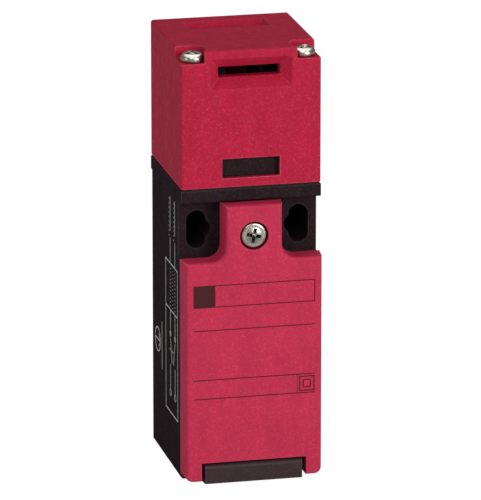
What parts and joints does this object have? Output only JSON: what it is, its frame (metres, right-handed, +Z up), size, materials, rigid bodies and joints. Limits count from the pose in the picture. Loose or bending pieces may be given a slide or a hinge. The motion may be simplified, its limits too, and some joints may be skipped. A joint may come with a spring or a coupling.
{
  "type": "tongue interlock switch",
  "caption": "Compact plastic safety switch with a turret head, front and top tongue slots, a screwed front cover, contact block and cable entry.",
  "frame": {"origin": "middle of the cable entry in the bottom face, on the turret axis", "axes": "+X across the switch to the right as seen from the cover, +Y to the mounting face, +Z up along the turret axis"},
  "size_m": [0.03, 0.033, 0.0935],
  "materials": {
    "red_plastic": "fine moulded grain",
    "black_plastic": "fine moulded grain",
    "screw_steel": "zinc plated",
    "axle_steel": "ground",
    "spring_steel": "drawn wire",
    "brass": "turned",
    "drum_plastic": "glass filled, moulded",
    "rod_plastic": "acetal, moulded",
    "seal_rubber": "nitrile rubber",
    "block_plastic": "moulded",
    "contact_metal": "silvered copper alloy"
  },
  "bodies": {
    "housing": {"head_housing": "red_plastic", "head_screws": "screw_steel", "drum_axle": "axle_steel", "head_gasket": "seal_rubber", "plunger_guide": "rod_plastic", "plunger_seal": "seal_rubber", "return_spring": "spring_steel", "body_casing": "black_plastic", "head_inserts": "brass", "cover_gasket": "seal_rubber", "cover_insert": "brass", "contact_base": "block_plastic", "contact_front": "block_plastic", "fixed_contacts": "contact_metal", "terminal_clamps": "screw_steel", "terminal_screws": "screw_steel", "block_screws": "screw_steel"},
    "cam": {"cam_drum": "drum_plastic"},
    "plunger_set": {"plunger": "rod_plastic", "contact_carriage": "rod_plastic", "moving_contacts": "contact_metal", "bridge_springs": "spring_steel"},
    "cover_set": {"cover": "red_plastic", "cover_screw": "screw_steel", "screw_retainer": "rod_plastic"}
  },
  "joints": [
    {"name": "cam_turn", "type": "hinge", "parent": "housing", "child": "cam", "pos_m": [0, 0, 0.0805], "axis": [-1, 0, 0], "range_deg": [0, 50]},
    {"name": "plunger_slide", "type": "slide", "parent": "housing", "child": "plunger_set", "axis": [0, 0, 1], "range_m": [0, 0.0026], "deforming": ["return_spring"]},
    {"name": "cover_slide", "type": "slide", "parent": "housing", "child": "cover_set", "axis": [0, -1, 0], "range_m": [0, 0.04]}
  ],
  "couplings": [
    {"joint": "plunger_slide", "follows": "cam_turn", "m_per_rad": 0.0029794}
  ]
}
